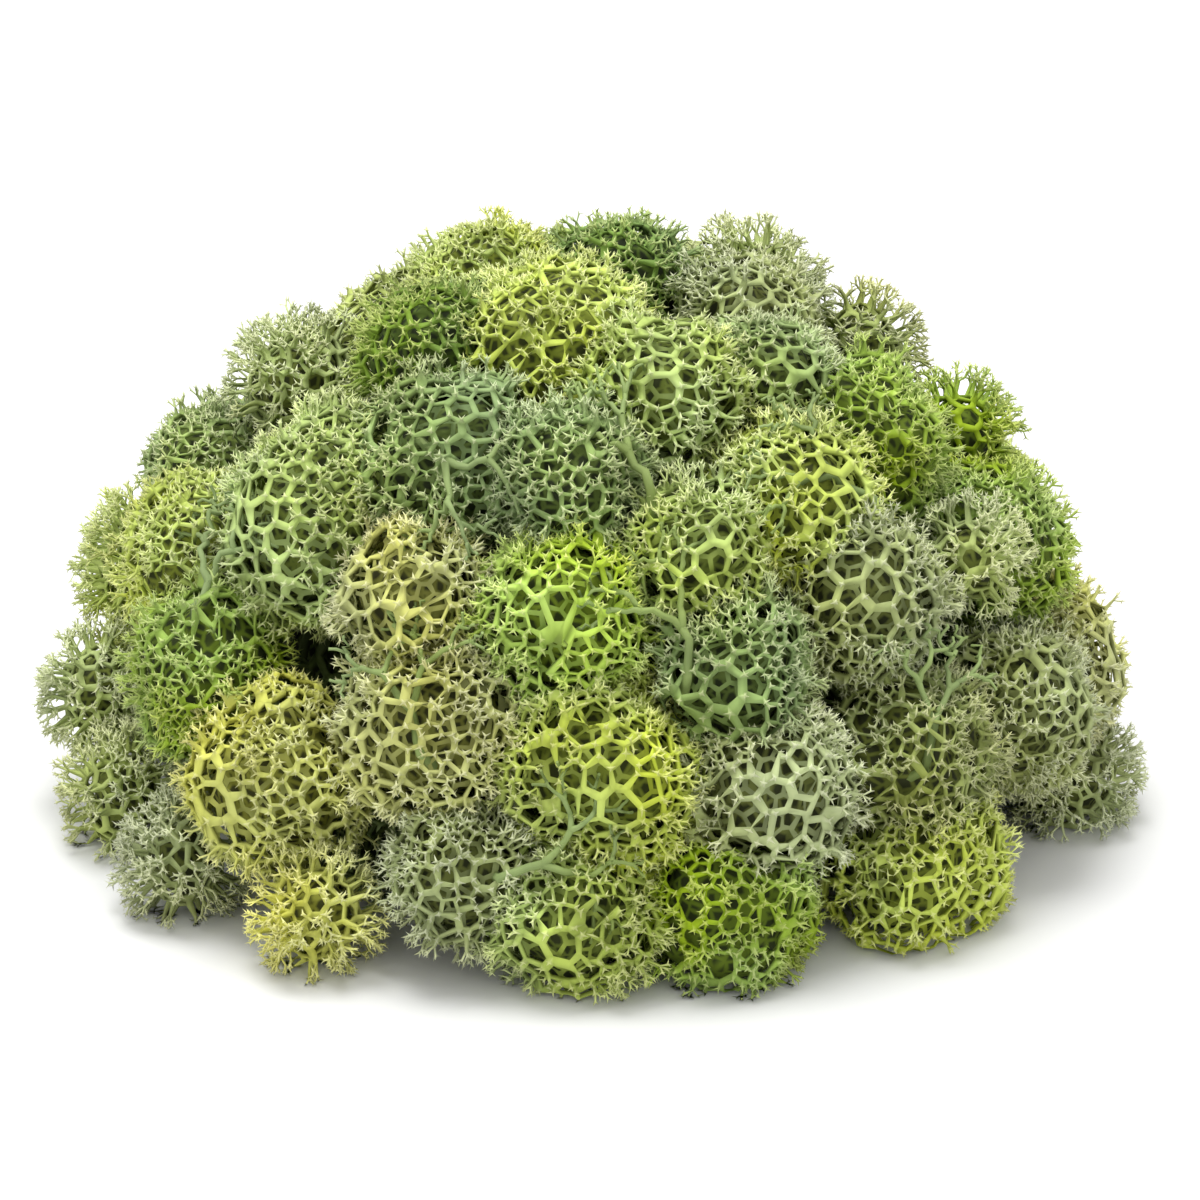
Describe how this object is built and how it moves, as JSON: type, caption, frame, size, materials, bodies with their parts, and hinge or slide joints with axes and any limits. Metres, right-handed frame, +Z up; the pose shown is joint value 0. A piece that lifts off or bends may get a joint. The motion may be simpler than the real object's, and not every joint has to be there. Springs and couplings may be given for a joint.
{
  "type": "reindeer moss clump",
  "caption": "Domed clump of preserved reindeer moss: rounded heads of fine forked branches in mixed greens, gathered over a mat of stems.",
  "frame": {"origin": "middle of the clump's footprint, on the plane that it rests on", "axes": "+Z up; +X to the right seen from the front, along the long side of the clump; -Y towards the viewer of the picture"},
  "size_m": [0.2052, 0.1872, 0.1114],
  "materials": {
    "moss_blue": "matte",
    "moss_cream": "matte",
    "moss_deep": "matte",
    "moss_green": "matte",
    "moss_grey": "matte",
    "moss_ivory": "matte",
    "moss_lime": "matte",
    "moss_mint": "matte",
    "moss_olive": "matte",
    "moss_sage": "matte",
    "moss_shaded": "matte",
    "moss_straw": "matte",
    "moss_teal": "matte",
    "moss_vivid": "matte"
  },
  "bodies": {
    "root": {"stem_mat": "moss_shaded", "lime_crown": "moss_lime", "deep_sage": "moss_deep", "deep_green": "moss_deep", "sage_crest": "moss_sage", "grey_sage": "moss_grey", "olive_crest": "moss_olive", "lime_top": "moss_lime", "mint_stems": "moss_mint", "blue_sage": "moss_blue", "pale_crest": "moss_sage", "slate_shoulder": "moss_blue", "mint_large": "moss_mint", "teal_large": "moss_teal", "teal_small": "moss_teal", "pale_flank": "moss_lime", "lime_shoulder": "moss_lime", "bluegreen_side": "moss_green", "sage_edge": "moss_sage", "sage_foot_left": "moss_sage", "lime_lace": "moss_lime", "moss_green": "moss_green", "green_fork": "moss_green", "green_flank": "moss_green", "light_lace": "moss_mint", "grey_lace": "moss_grey", "sage_antler": "moss_sage", "cream_flank": "moss_cream", "sage_side": "moss_grey", "grey_foot_right": "moss_grey", "cream_cushion": "moss_cream", "vivid_cushion": "moss_vivid", "ring_lace": "moss_teal", "cream_stems": "moss_cream", "straw_cushion": "moss_straw", "light_cushion": "moss_lime", "ivory_cushion": "moss_ivory", "olive_cushion": "moss_olive", "grey_foot_left": "moss_grey", "yellow_foot": "moss_straw", "grey_stems": "moss_grey", "mint_foot": "moss_mint", "green_foot": "moss_green", "yellow_flank": "moss_lime", "back_foot_1": "moss_sage", "back_foot_2": "moss_lime", "back_foot_3": "moss_grey", "back_foot_4": "moss_mint", "back_foot_5": "moss_straw", "back_foot_6": "moss_teal", "back_foot_7": "moss_sage", "back_high_1": "moss_mint", "back_high_2": "moss_sage", "back_high_3": "moss_lime", "back_high_4": "moss_grey", "back_high_5": "moss_olive", "back_top_1": "moss_grey", "back_top_2": "moss_mint", "back_top_3": "moss_sage"}
  },
  "joints": []
}
